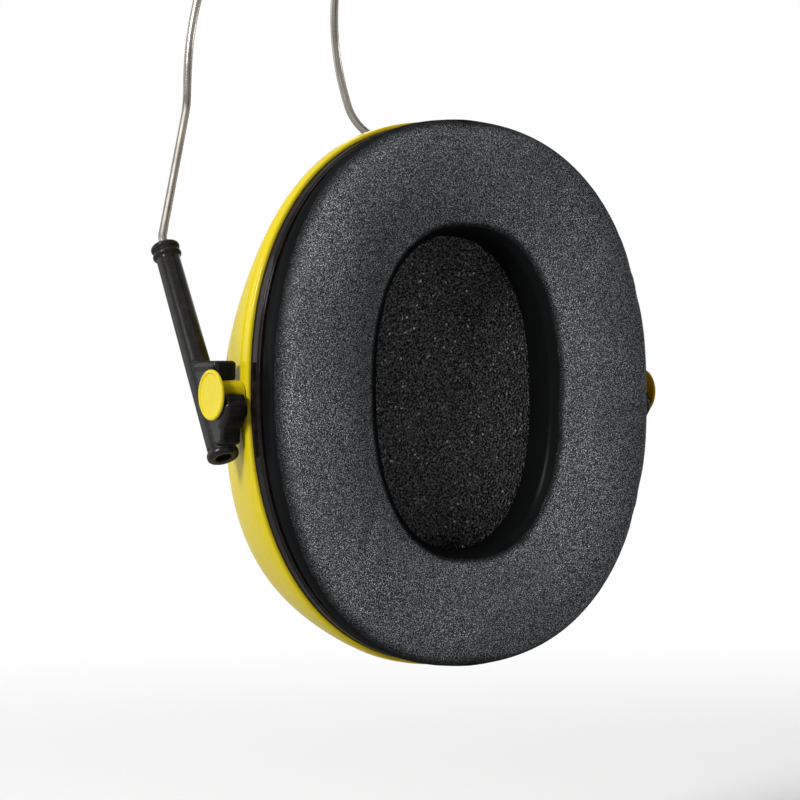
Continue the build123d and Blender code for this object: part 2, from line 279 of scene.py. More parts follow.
def through(points, count):
    """Smooth line through points: the natural cubic spline over the distance along them."""
    points = np.array(points, float)
    knots = distance_along(points)
    h = np.diff(knots)
    size = len(points)
    system, target = np.eye(size), np.zeros_like(points)
    inner = np.arange(1, size - 1)
    system[inner, inner - 1], system[inner, inner + 1] = h[:-1], h[1:]
    system[inner, inner] = 2 * (h[:-1] + h[1:])
    slope = np.diff(points, axis=0) / h[:, None]
    target[1:-1] = 6 * np.diff(slope, axis=0)
    curve = np.linalg.solve(system, target)
    s = np.linspace(0, knots[-1], count)
    k = np.clip(np.searchsorted(knots, s, side="right") - 1, 0, size - 2)
    a, b, w = (knots[k + 1] - s)[:, None], (s - knots[k])[:, None], h[k][:, None]
    bulge = curve[k] * (a**3 / w - a * w) / 6 + curve[k + 1] * (b**3 / w - b * w) / 6
    return bulge + (points[k] * a + points[k + 1] * b) / w


def spaced(points, step):
    """The same line with its long runs divided, so that no run is much over step."""
    points = np.array(points, float)
    run = np.linalg.norm(np.diff(points, axis=0), axis=1)
    share = np.maximum(np.ceil(run / step), 1).astype(int)
    which = np.repeat(np.arange(len(run)), share)
    first = np.concatenate([[0], np.cumsum(share)[:-1]])
    part = (np.arange(len(which)) - first[which]) / share[which]
    between = points[which] + part[:, None] * (points[which + 1] - points[which])
    return np.vstack([between, points[-1:]])


def net(grid, loop=False, caps="", across=None, around=1.0):
    """Shell over rings of points: each ring closes on itself, and each joins the next.

    A loop joins the last ring to the first. Caps are a "fan" in to the ring's middle or one
    "face". The map's first direction runs round a ring, up to around, and its second takes
    its value at each ring from across. The faces are turned so that the shell faces out.
    """
    rings, columns = grid.shape[:2]
    points = grid.reshape(-1, 3)
    across = np.arange(rings, dtype=float) if across is None else np.asarray(across, float)
    i = np.arange(rings if loop else rings - 1)[:, None] + np.zeros((1, columns), int)
    j = np.arange(columns)[None] + 0 * i
    right, below = (j + 1) % columns, (i + 1) % rings
    corners = [i * columns + j, i * columns + right, below * columns + right, below * columns + j]
    quads = np.stack(corners, -1).reshape(-1, 4)
    turn_a, turn_b = j / columns * around, (j + 1) / columns * around
    over, under = across[i], across[below]
    mapped = [(turn_a, over), (turn_b, over), (turn_b, under), (turn_a, under)]
    places = np.stack([np.stack(pair, -1) for pair in mapped], 2).reshape(-1, 4, 2)
    faces, maps = quads.tolist(), places.tolist()
    ends = ((0, True), (rings - 1, False)) if caps else ()
    for ring, turned_over in ends:
        edge = ring * columns + np.arange(columns)
        if caps == "face":
            polygon = edge[::-1] if turned_over else edge
            faces.append(polygon.tolist())
            maps.append([[0.0, across[ring]]] * columns)
            continue
        middle = len(points)
        points = np.vstack([points, grid[ring].mean(0)])
        fan = np.column_stack([edge, np.roll(edge, -1), np.full(columns, middle)])
        fan = fan[:, [1, 0, 2]] if turned_over else fan
        faces += fan.tolist()
        maps += [[[0.0, across[ring]]] * 3] * columns
    a, b, c, d = (points[quads[:, corner]] - points.mean(0) for corner in range(4))
    swept = (a * np.cross(b, c)).sum() + (a * np.cross(c, d)).sum()
    if swept < 0:
        faces = [face[::-1] for face in faces]
        maps = [face[::-1] for face in maps]
    return points, faces, maps


def turned(profile, centre, axis, side, columns=64):
    """Surface of revolution: each (radius, height) of the profile is swept round the axis."""
    radius, height = np.array(profile, float).T[:, :, None]
    t = (np.arange(columns) / columns * TURN)[:, None]
    spokes = np.cos(t) * side + np.sin(t) * np.cross(axis, side)
    return np.asarray(centre) + height[..., None] * axis + radius[..., None] * spokes


def slab(outline, low, high, edge, steps=4):
    """Rings of a plate with rounded edges, as (first, second, level).

    The outline is drawn in by edge * (1 - sin a) at the level edge * (1 - cos a) from each
    face, where a runs from zero to a quarter turn.
    """
    before, after = np.roll(outline, 1, 0), np.roll(outline, -1, 0)
    area = (outline[:, 0] * after[:, 1] - outline[:, 1] * after[:, 0]).sum()
    tangent = after - before
    tangent /= np.linalg.norm(tangent, axis=1)[:, None]
    inward = np.stack([-tangent[:, 1], tangent[:, 0]], -1) * np.sign(area)
    a = np.linspace(0, np.pi / 2, steps + 1)
    inset = edge * (1 - np.sin(a))
    level = low + edge * (1 - np.cos(a))
    inset = np.concatenate([inset, inset[::-1]])[:, None, None]
    level = np.concatenate([level, low + high - level[::-1]])[:, None]
    flat = outline[None] + inward[None] * inset
    return np.dstack([flat, level + 0 * flat[..., 0]])


def tube(path, radius, columns=24):
    """Rings of a round tube: at each point of the path a circle square to it.

    A circle's first spoke is the one before it with its share along the path taken off, so
    the rings never twist.
    """
    ahead = np.gradient(path, axis=0)
    ahead /= np.linalg.norm(ahead, axis=1)[:, None]
    spoke, spokes = np.cross(ahead[0], (0.0, 1.0, 0.0)), []
    for direction in ahead:
        spoke = spoke - direction * (spoke @ direction)
        spoke /= np.linalg.norm(spoke)
        spokes.append(spoke)
    spokes = np.array(spokes)[:, None]
    t = (np.arange(columns) / columns * TURN)[None, :, None]
    other = np.cross(ahead, spokes[:, 0])[:, None]
    radius = np.broadcast_to(radius, len(path))[:, None, None]
    return path[:, None] + radius * (np.cos(t) * spokes + np.sin(t) * other)


# ---------------------------------------------------------------- objects


def mesh_piece(name, shells, hand="left"):
    """One object from shells that are drawn for the left half, mirrored for the right."""
    points, faces, maps, start = [], [], [], 0
    for places, polygons, mapped in shells:
        points.append(for_hand(places, hand))
        faces += [[start + corner for corner in polygon] for polygon in polygons]
        maps += [corner for face in mapped for corner in face]
        start += len(places)
    mesh = bpy.data.meshes.new(name)
    mesh.from_pydata(np.vstack(points).tolist(), [], faces)
    layer = mesh.uv_layers.new(name=SURFACE)
    layer.uv.foreach_set("vector", np.array(maps, np.float32).ravel())
    if hand == "right":
        mesh.flip_normals()
    mesh.update()
    made = bpy.data.objects.new(name, mesh)
    bpy.context.scene.collection.objects.link(made)
    return made


def settle(made, body, replaces, material, crease=35):
    """Shades a piece, gives it its material and slot, and sets it to ride on its body."""
    made.data.shade_smooth()
    made.data.set_sharp_from_angle(angle=math.radians(crease))
    made.data.materials.clear()
    made.data.materials.append(material)
    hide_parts(*replaces)
    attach(made, body)
    return made


def stiffen(made, kind, **sizes):
    """Adds a modifier and applies it."""
    modifier = made.modifiers.new(kind.title(), kind)
    for key, value in sizes.items():
        setattr(modifier, key, value)
    with bpy.context.temp_override(object=made, active_object=made, selected_objects=[made]):
        bpy.ops.object.modifier_apply(modifier=modifier.name)
    return made


def inflated(rings, held, cap):
    """Rings after Cloth has blown them up from inside, with the held points left in place.

    The simulation runs on an enlarged copy, because Cloth hardly moves small pieces. No point
    ends up further from its start than the cap.
    """
    places, polygons, _ = net(rings)
    mesh = bpy.data.meshes.new("inflating")
    mesh.from_pydata((places * CLOTH_SCALE).tolist(), [], polygons)
    made = bpy.data.objects.new("inflating", mesh)
    scene = bpy.context.scene
    scene.collection.objects.link(made)
    held = np.broadcast_to(held, rings.shape[:2])
    pins = made.vertex_groups.new(name="held")
    pins.add(np.flatnonzero(held).tolist(), 1.0, "REPLACE")
    modifier = made.modifiers.new("Cloth", "CLOTH")
    cloth = modifier.settings
    cloth.use_pressure = True
    cloth.uniform_pressure_force = CLOTH_PRESSURE
    cloth.effector_weights.gravity = 0
    cloth.shrink_min = CLOTH_SHRINK
    cloth.vertex_group_mass = pins.name
    modifier.collision_settings.use_collision = False
    for step in range(CLOTH_STEPS):
        scene.frame_set(1 + step)
    blown = made.evaluated_get(bpy.context.evaluated_depsgraph_get()).data
    after = np.empty(len(places) * 3, np.float32)
    blown.vertices.foreach_get("co", after)
    move = after.reshape(rings.shape) / CLOTH_SCALE - rings
    far = np.linalg.norm(move, axis=2, keepdims=True)
    scene.frame_set(1)
    bpy.data.objects.remove(made)
    bpy.data.meshes.remove(mesh)
    return rings + move * np.minimum(1, cap / np.maximum(far, 1e-9))


# ---------------------------------------------------------------- materials


def times(tint, share):
    """A colour times a share, or times one share for each of its parts."""
    return tuple(np.multiply(tint, share).tolist())


class Nodes:
    """Short calls that add nodes to a tree."""

    def __init__(self, tree):
        self.tree = tree

    def node(self, kind, inputs=(), **settings):
        """A node with its settings, and its inputs given as values or as other sockets."""
        made = self.tree.nodes.new("ShaderNode" + kind)
        for key, value in settings.items():
            setattr(made, key, value)
        for key, value in dict(inputs).items():
            if isinstance(value, bpy.types.NodeSocket):
                self.tree.links.new(value, made.inputs[key])
            else:
                made.inputs[key].default_value = value
        return made

    def math(self, operation, *values):
        """The result of a Math node."""
        return self.node("Math", dict(enumerate(values)), operation=operation).outputs[0]

    def seen(self):
        """One for rays from the camera, from gloss and through glass, otherwise zero."""
        path = self.node("LightPath").outputs
        seen = self.math("MAXIMUM", path["Is Camera Ray"], path["Is Glossy Ray"])
        return self.math("MAXIMUM", seen, path["Is Transmission Ray"])


class Finish(Nodes):
    """A material in the making: a Principled shader and short calls for the nodes before it."""

    def __init__(self, name, **constants):
        self.material = bpy.data.materials.new(name)
        self.material.use_nodes = True
        super().__init__(self.material.node_tree)
        self.shader = self.tree.nodes["Principled BSDF"]
        for socket, value in constants.items():
            socket = socket.replace("_", " ")
            value = (*value, 1) if socket in ("Base Color", "Sheen Tint") else value
            self.shader.inputs[socket].default_value = value

    def ramp(self, value, low, high, to_low=0.0, to_high=1.0):
        """A value that goes smoothly from to_low to to_high between low and high."""
        inputs = {0: value, 1: low, 2: high, 3: to_low, 4: to_high}
        return self.node("MapRange", inputs, interpolation_type="SMOOTHSTEP").outputs[0]

    def blend(self, share, first, second):
        """A colour between two, given as colours or sockets."""
        first, second = (
            item if isinstance(item, bpy.types.NodeSocket) else (*item, 1)
            for item in (first, second)
        )
        return self.node("Mix", {0: share, 6: first, 7: second}, data_type="RGBA").outputs[2]

    def place(self, stretch=(1, 1, 1), turn=(0, 0, 0)):
        """Object coordinates in millimetres, stretched and turned."""
        start = self.node("TexCoord").outputs["Object"]
        inputs = {"Vector": start, "Rotation": turn, "Scale": times(stretch, 1000)}
        return self.node("Mapping", inputs).outputs[0]

    def surface(self):
        """The piece's own map: round it and across it, in metres."""
        return self.node("UVMap", uv_map=SURFACE).outputs[0]

    def cells(self, where, scale):
        """The sockets of a Voronoi pattern with scale cells to the millimetre."""
        return self.node("TexVoronoi", {"Vector": where, "Scale": scale}).outputs

    def noise(self, where, scale, detail=2.0, roughness=0.5):
        """Noise with scale features to the millimetre."""
        inputs = {"Vector": where, "Scale": scale, "Detail": detail, "Roughness": roughness}
        return self.node("TexNoise", inputs).outputs[0]

    def bump(self, height, depth, strength=1.0, before=None):
        """Bump of a depth in metres, on top of another."""
        inputs = {"Height": height, "Distance": depth, "Strength": strength}
        if before is not None:
            inputs["Normal"] = before
        return self.node("Bump", inputs).outputs[0]

    def feed(self, **sockets):
        """Joins sockets to the shader and returns the material."""
        if "Normal" in sockets:
            sockets["Coat_Normal"] = sockets["Normal"]
        for key, value in sockets.items():
            self.tree.links.new(value, self.shader.inputs[key.replace("_", " ")])
        return self.material


def moulded_yellow(tint):
    """Gloss yellow moulding: painted shade, warmer towards the rim; soft ripples, fine scuffs."""
    finish = Finish("moulded_yellow", Specular_IOR_Level=0.0, Coat_Weight=0.28, Coat_Roughness=0.1)
    where = finish.place()
    outward = finish.math("ABSOLUTE", finish.node("SeparateXYZ", {0: where}).outputs[0])
    along = finish.math("MULTIPLY", outward, -1)
    rim = RIM_CENTRE[0] / MM
    # Painted shade: a darker, warmer orange towards the rim, over a band that the noise wobbles.
    warm = times(tint, (0.97, 0.7, 1.0))
    swirl = finish.math("MULTIPLY_ADD", finish.noise(where, 0.05, 3), 6, along)
    base = finish.blend(finish.ramp(swirl, rim - 5, rim + 4.5), tint, warm)
    scuff = finish.ramp(finish.noise(finish.place((1, 1, 0.2)), 1.5, 6, 0.7), 0.5, 0.75)
    base = finish.blend(finish.math("MULTIPLY", scuff, 0.25), base, times(tint, 0.8))
    ripple = finish.bump(finish.noise(where, 0.12, 1), 0.04 * MM)
    ripple = finish.bump(finish.noise(where, 4, 2), 0.003 * MM, before=ripple)
    return finish.feed(
        Base_Color=base,
        Roughness=finish.ramp(scuff, 0, 1, 0.2, 0.34),
        Normal=ripple,
    )


def moulded_black(tint):
    """Satin black moulding with a spark-eroded grain and rubbed high spots."""
    finish = Finish("moulded_black", Specular_IOR_Level=0.0, Coat_Weight=0.3, Coat_Roughness=0.22)
    where = finish.place()
    grain = finish.noise(where, 5, 3, 0.6)
    rub = finish.ramp(finish.noise(where, 0.4, 4, 0.65), 0.45, 0.7)
    pale = tuple(part * 1.7 + 0.003 for part in tint)
    return finish.feed(
        Base_Color=finish.blend(rub, tint, pale),
        Roughness=finish.ramp(rub, 0, 1, 0.2, 0.34),
        Normal=finish.bump(grain, 0.03 * MM, 0.7),
    )


def gloss_black(tint):
    """Gloss black plate with fine swirl marks and dust-soft patches."""
    finish = Finish("gloss_black", Specular_IOR_Level=0.0, Coat_Weight=0.22, Coat_Roughness=0.06)
    where = finish.place()
    swirl = finish.ramp(finish.noise(where, 0.3, 5, 0.6), 0.4, 0.75)
    warm = tuple(np.add(times(tint, 1.5), (0.008, 0.003, 0.001)).tolist())
    return finish.feed(
        Base_Color=finish.blend(swirl, tint, warm),
        Roughness=finish.ramp(swirl, 0, 1, 0.08, 0.18),
        Normal=finish.bump(finish.noise(where, 0.8, 2), 0.012 * MM),
    )


def grained_foil(name, tint, start, end, fade, weld=None):
    """Foil with a leather grain between two places on the surface's map, smooth beyond them.

    The grain is a fine noise that is bent by a wider one and cut by cells. It sets in over
    the distance fade. Its tops are painted glints, far paler than its valleys; towards both
    places they fade into painted shade, darker than the valleys. A weld is a fine dotted
    ridge round the piece.
    """
    finish = Finish(name, Specular_IOR_Level=0.0, Coat_Weight=0.045, Coat_Roughness=0.3)
    where = finish.place()
    warp = finish.node("TexNoise", {"Vector": where, "Scale": 1.3, "Detail": 2.0}).outputs[1]
    shifted = finish.node("VectorMath", {0: warp, 3: 0.5}, operation="SCALE").outputs[0]
    shifted = finish.node("VectorMath", {0: where, 1: shifted}, operation="ADD").outputs[0]
    cells = finish.cells(shifted, 4.4)["Distance"]
    fine = finish.noise(shifted, 7.4, 2, 0.6)
    grain = finish.math("MULTIPLY_ADD", cells, -0.35, finish.math("ADD", fine, 0.15))
    grain = finish.ramp(grain, 0.5, 0.76)
    around, across = finish.node("SeparateXYZ", {0: finish.surface()}).outputs[:2]
    wander = finish.math("MULTIPLY_ADD", finish.noise(where, 0.25, 2), 0.8 * MM, across)
    on = finish.math(
        "MULTIPLY",
        finish.ramp(wander, start, start + fade),
        finish.ramp(wander, end - fade, end, 1.0, 0.0),
    )
    normal = finish.bump(finish.math("MULTIPLY", grain, on), 0.06 * MM)
    if weld is not None:
        pitch = 0.8 * MM
        off = finish.math("ABSOLUTE", finish.math("SUBTRACT", across, weld))
        line = finish.ramp(off, 0.05 * MM, 0.3 * MM, 1.0, 0.0)
        dots = finish.math("SINE", finish.math("MULTIPLY", around, TURN / pitch))
        dots = finish.ramp(dots, -0.6, 0.9, 0.35, 1.0)
        normal = finish.bump(finish.math("MULTIPLY", line, dots), 0.16 * MM, before=normal)
    patch = finish.ramp(finish.noise(where, 0.05, 3), 0.35, 0.7)
    # Painted shade: the painted glints fade out towards the grained band's outer edge and the lip.
    dull_patch_and_crown_sheen = finish.math(
        "MULTIPLY",
        finish.ramp(wander, start + fade, start + 6 * fade),
        finish.ramp(wander, end - 3 * fade, end - fade, 1.0, 0.0),
    )
    painted_sheen_share = finish.math("MULTIPLY", finish.math("MULTIPLY_ADD", dull_patch_and_crown_sheen, 0.85, 0.15), on)
    # Painted glints on the grain's tops, many times paler than the foil; near-black painted shade
    # where they fade.
    painted_glint_tops = finish.blend(patch, times(tint, 52), times(tint, 68))
    base = finish.blend(grain, times(tint, 1.6), painted_glint_tops)
    base = finish.blend(painted_sheen_share, times(tint, 0.2), base)
    return finish.feed(
        Base_Color=base,
        Roughness=finish.ramp(on, 0, 1, 0.2, 0.4),
        Normal=normal,
    )


def speckled_foam(tint):
    """Dark open-cell foam whose cell walls glint here and there."""
    finish = Finish("speckled_foam", Specular_IOR_Level=0.0, Roughness=0.8)
    where = finish.place(turn=(0.5, 0.3, 0.7))
    pores = finish.cells(where, 1.9)["Distance"]
    fine = finish.noise(where, 2.6, 3, 0.7)
    height = finish.math("ADD", finish.ramp(pores, 0.1, 0.7), finish.math("MULTIPLY", fine, 0.6))
    base = finish.blend(finish.ramp(fine, 0.4, 0.72), times(tint, 0.2), times(tint, 4.5))
    for scale, rare, bright in ((2.2, 0.72, 0.22), (1.35, 0.86, 0.8)):
        cells = finish.cells(where, scale)
        chance = finish.node("SeparateColor", {0: cells["Color"]}).outputs[0]
        spot = finish.ramp(cells["Distance"], 0.12, 0.42, 1.0, 0.0)
        glint = finish.math("MULTIPLY", spot, finish.ramp(chance, rare, 1.0))
        base = finish.blend(glint, base, (bright, bright, bright * 1.02))
    return finish.feed(Base_Color=base, Normal=finish.bump(height, 0.4 * MM))


def soft_foam(tint):
    """Grey open-cell foam with fine pores."""
    finish = Finish("soft_foam", Specular_IOR_Level=0.2, Roughness=0.95, Sheen_Weight=0.15)
    where = finish.place()
    pores = finish.cells(where, 1.6)["Distance"]
    base = finish.blend(finish.ramp(pores, 0.1, 0.6), times(tint, 0.5), times(tint, 1.5))
    return finish.feed(Base_Color=base, Normal=finish.bump(pores, 0.3 * MM))


def drawn_steel(tint):
    """Bright drawn wire: fine lines along it, faint bands round it and duller patches."""
    finish = Finish("drawn_steel", Metallic=1.0, Anisotropic=0.5)
    stretched = {"Vector": finish.surface(), "Scale": (40, 60, 1)}
    drawn = finish.noise(finish.node("Mapping", stretched).outputs[0], 1.0, 5, 0.65)
    dull_patch_and_crown_sheen = finish.ramp(finish.noise(finish.place(), 0.15, 4, 0.6), 0.35, 0.7)
    dark = times(tint, 0.6)
    base = finish.blend(finish.ramp(drawn, 0.3, 0.7), dark, tint)
    return finish.feed(
        Base_Color=finish.blend(finish.math("MULTIPLY", dull_patch_and_crown_sheen, 0.35), base, dark),
        Roughness=finish.ramp(dull_patch_and_crown_sheen, 0, 1, 0.2, 0.34),
        Normal=finish.bump(drawn, 0.01 * MM, 0.8),
    )


# ---------------------------------------------------------------- cups


def dome_rows(half_width, half_height, depth, band, land_step, count):
    """Rows of the dome from its rim band to its label land.

    At a share k of the depth each half size is the rim's times (1 - k^start)^(1 / end), with
    a start and an end for the side, the top and the bottom. Shares lie closer near the land.
    """
    land = 1 - land_step / (depth - band)
    k = land * np.sin(np.linspace(0, np.pi / 2, count))
    side, top, bottom = ((1 - k**start) ** (1 / end) for start, end in DOME_CURVES.values())
    x = -band - k * (depth - band)
    power = OUTLINE_POWER + (BACK_POWER - OUTLINE_POWER) * k
    return np.stack([x, half_width * side, half_height * top, half_height * bottom, power], 1)


def drawn(row, x, inset):
    """A row at another x, drawn in by an inset on every side."""
    return [x, row[1] - inset, row[2] - inset, row[3] - inset, row[4]]


def scaled(row, x, share):
    """A row at another x with its half sizes multiplied."""
    return [x, row[1] * share, row[2] * share, row[3] * share, row[4]]


class EARMUFF_OT_shells(bpy.types.Operator):
    """Makes the moulded cup shells with their rounded rims and bare label lands"""

    bl_idname = "earmuff.shells"
    bl_label = "Cup shells"

    def execute(self, context):
        sizes = context.scene.earmuff_shell
        wide, tall, wall = sizes.rim_half_width, sizes.rim_half_height, sizes.wall
        outside = dome_rows(wide, tall, sizes.depth, sizes.band, sizes.land_step, 44)
        inside = dome_rows(
            wide - wall, tall - wall, sizes.depth - wall, sizes.band, sizes.land_step, 24
        )
        corners = [(-sizes.band, 0), (0, 0), (0, wall), (-sizes.band, wall)]
        rim = rounded(corners, (0, 0.55 * MM, 0.4 * MM, 0), 6)
        # The land is sunk inside a border, as millimetres down and in from the dome's edge.
        edge, sunk = outside[-1], 0.25
        border = [(sunk, 1.45), (0.2, 1.3), (0.04, 1.15), (0, 1.0), (0, 0.5)]
        land = [scaled(edge, edge[0] + sunk * MM, share) for share in (0.12, 0.45, 0.8)]
        land += [drawn(edge, edge[0] + deep * MM, inset * MM) for deep, inset in border]
        lip = [drawn(outside[0], x, inset) for x, inset in rim[1:-1]]
        ceiling = [scaled(inside[-1], inside[-1][0], share) for share in (0.8, 0.4)]
        rows = [*land, *outside[::-1], *lip, *inside, *ceiling]
        shell = net(in_cup(ovals(rows)), caps="fan")
        finish = moulded_yellow(tuple(sizes.colour))
        for hand in HANDS:
            made = mesh_piece(f"{hand}_shell", [shell], hand)
            settle(made, f"{hand}_cup", [f"{hand}_cup_shell"], finish)
        return {"FINISHED"}


class EARMUFF_OT_studs(bpy.types.Operator):
    """Makes the button-headed pivot studs with their dished heads"""

    bl_idname = "earmuff.studs"
    bl_label = "Pivot studs"

    def execute(self, context):
        sizes = context.scene.earmuff_shell
        holder = context.scene.earmuff_holder
        rim = sizes.rim_half_width
        inner = rim - sizes.wall - 0.95 * MM
        base = rim + holder.stand_off + holder.thickness + 0.15 * MM
        face = base + sizes.head_thickness
        head, neck = sizes.head_radius, sizes.neck_radius
        flange, shank = 2.6 * MM, 2.0 * MM
        corners = [
            (0.4 * MM, inner - 0.9 * MM),
            (flange, inner - 0.9 * MM),
            (flange, inner),
            (shank, inner),
            (shank, rim + 0.1 * MM),
            (neck, rim + 0.1 * MM),
            (neck, base),
            (head, base),
            (head, face),
            (head - 0.6 * MM, face),
            (head - 0.85 * MM, face - 0.2 * MM),
            (head * 0.45, face - 0.24 * MM),
            (0.3 * MM, face - 0.25 * MM),
        ]
        radii = np.array([0, 0.3, 0.2, 0, 0, 0.2, 0, 0.2, 0.3, 0.12, 0.15, 1, 0]) * MM
        profile = rounded(corners, radii)
        finish = moulded_yellow(tuple(sizes.colour))
        for place, sign in FACES.items():
            rings = turned(profile, (-STUD_SETBACK, 0, 0), (0, sign, 0), (1, 0, 0))
            shell = net(in_cup(rings), caps="fan")
            for hand in HANDS:
                made = mesh_piece(f"{hand}_{place}_stud", [shell], hand)
                node = f"{hand}_{place}_pivot_stud"
                settle(made, f"{hand}_cup", [node], finish)
        return {"FINISHED"}


class EARMUFF_OT_backplates(bpy.types.Operator):
    """Makes the gloss rings that carry the cushions and snap into the shells"""

    bl_idname = "earmuff.backplates"
    bl_label = "Back plates"

    def execute(self, context):
        shell, sizes = context.scene.earmuff_shell, context.scene.earmuff_seal
        wide, tall = shell.rim_half_width, shell.rim_half_height
        hole = sizes.skin + 0.3 * MM
        hole_wide, hole_tall = sizes.opening_half_width + hole, sizes.opening_half_height + hole
        edge_wide, edge_tall = wide - sizes.plate_inset, tall - sizes.plate_inset
        skirt = shell.wall + 0.4 * MM
        skirt_wide, skirt_tall = wide - skirt, tall - skirt - 0.9 * MM
        inner_wide, inner_tall = wide - skirt - 1.5 * MM, tall - skirt - 2.4 * MM
        top, seat, foot = sizes.plate, 0.02 * MM, -2.5 * MM
        corners = [
            (seat, edge_wide, edge_tall),
            (top - 0.5 * MM, edge_wide, edge_tall),
            (top - 0.3 * MM, edge_wide - 0.3 * MM, edge_tall - 0.3 * MM),
            (top, edge_wide - 0.35 * MM, edge_tall - 0.35 * MM),
            (top, hole_wide, hole_tall),
            (seat, hole_wide, hole_tall),
            (seat, inner_wide, inner_tall),
            (foot, inner_wide, inner_tall),
            (foot, skirt_wide, skirt_tall),
            (seat, skirt_wide, skirt_tall),
        ]
        radii = np.array([0.2, 0.25, 0.1, 0.15, 0.4, 0.2, 0.1, 0.2, 0.3, 0.1]) * MM
        line = rounded(corners, radii, closed=True)
        share = np.clip((line[:, 1] - hole_wide) / (edge_wide - hole_wide), 0, 1)
        power = OPENING_POWER + (OUTLINE_POWER - OPENING_POWER) * share
        rings = ovals(np.column_stack([line, line[:, 2], power]))
        notch_half_width = 6.5 * MM
        notch = (abs(rings[..., 2]) < notch_half_width) & (rings[..., 0] < 0)
        rings[..., 0] = np.where(notch, 0.01 * MM * rings[..., 0] / foot, rings[..., 0])
        plate = net(in_cup(rings), loop=True)
        finish = gloss_black(tuple(sizes.plate_colour))
        for hand in HANDS:
            made = mesh_piece(f"{hand}_backplate", [plate], hand)
            settle(made, f"{hand}_cup", [f"{hand}_seal_backplate"], finish)
        return {"FINISHED"}


def cushion_width():
    """Distance from the cushion's outline in to its opening."""
    shell, seal = bpy.context.scene.earmuff_shell, bpy.context.scene.earmuff_seal
    return shell.rim_half_width - seal.inset - seal.opening_half_width


def cushion_line(sizes, count=96):
    """Cross-section of the cushion as (distance in from its outline, height over the rim).

    A smooth line runs from the tuck on the plate up the side, over the shoulder and the crown
    and down to the lip, and then a straight wall runs down through the plate's opening.
    """
    across, tuck = cushion_width(), 1.3 * MM
    front, plate, lip = sizes.front, sizes.plate, sizes.lip_drop
    crown, rise = sizes.crown_inset, sizes.front - sizes.plate
    side = [(0.85, 0.03), (0.4, 0.13), (0, 0.36)]
    shoulder = [(0.06, 0.6), (0.2, 0.76), (0.5, 0.89), (0.85, 0.97)]
    fall = [(0.62, 0.07), (0.36, 0.26), (0.15, 0.56), (0.05, 0.82)]
    points = [
        (tuck + 0.6 * MM, plate + 0.05 * MM),
        *((tuck * part, plate + rise * up) for part, up in side),
        *((crown * part, plate + rise * up) for part, up in shoulder),
        (crown * 1.25, front),
        *((across - part * (across - crown), front - lip * down) for part, down in fall),
        (across - 0.25 * MM, front - lip * 0.97),
    ]
    wall = np.array([(across, front - lip - 0.25 * MM), (across, plate), (across, 0)])
    return np.vstack([through(points, count), spaced(wall, 0.7 * MM)])


def cushion_rings(line, columns=192):
    """Rings of the cushion: a point's share across blends the outline into the opening."""
    shell, seal = bpy.context.scene.earmuff_shell, bpy.context.scene.earmuff_seal
    share = line[:, 0] / cushion_width()
    wide, tall = shell.rim_half_width - seal.inset, shell.rim_half_height - seal.inset
    half = wide + (seal.opening_half_width - wide) * share
    height = tall + (seal.opening_half_height - tall) * share
    power = OUTLINE_POWER + (OPENING_POWER - OUTLINE_POWER) * share
    return ovals(np.stack([line[:, 1], half, height, height, power], 1), columns)


class EARMUFF_OT_cushions(bpy.types.Operator):
    """Makes the cushions: a grained foil over a soft foam ring"""

    bl_idname = "earmuff.cushions"
    bl_label = "Cushions"

    def execute(self, context):
        sizes = context.scene.earmuff_seal
        line = cushion_line(sizes)
        along = distance_along(line)
        rising = slice(0, 40)  # the points on the way up the side
        girth, weld_height, fade = 0.31, 8.3 * MM, 0.6 * MM
        held = (line[:, 1] < sizes.plate + 1.2 * MM) | (line[:, 0] > cushion_width() - 0.6 * MM)
        blown = inflated(cushion_rings(line), held[:, None], 0.4 * MM)
        shell = net(in_cup(blown), across=along, around=girth)
        weld = np.interp(weld_height, line[rising, 1], along[rising])
        lip = along[np.argmax(line[:, 0] > cushion_width() - 1.1 * MM)]
        skin = grained_foil("cushion_foil", tuple(sizes.skin_colour), weld, lip, fade, weld=weld)
        turn = np.gradient(line, axis=0)
        turn /= np.linalg.norm(turn, axis=1)[:, None]
        inner = line + np.stack([turn[:, 1], -turn[:, 0]], 1) * (sizes.skin + 0.25 * MM)
        inner[:, 1] = np.maximum(inner[:, 1], sizes.plate + 0.1 * MM)
        keep = np.concatenate([[True], np.linalg.norm(np.diff(inner, axis=0), axis=1) > 0.1 * MM])
        core = net(in_cup(cushion_rings(inner[keep], 128)), loop=True)
        foam = soft_foam(tuple(sizes.foam_colour))
        for hand in HANDS:
            made = mesh_piece(f"{hand}_cushion_skin", [shell], hand)
            stiffen(made, "SOLIDIFY", thickness=sizes.skin * 0.8, offset=-1, use_rim=True)
            settle(made, f"{hand}_cup", [f"{hand}_seal_cover"], skin, 60)
            made = mesh_piece(f"{hand}_cushion_foam", [core], hand)
            settle(made, f"{hand}_cup", [f"{hand}_seal_foam"], foam, 60)
        return {"FINISHED"}


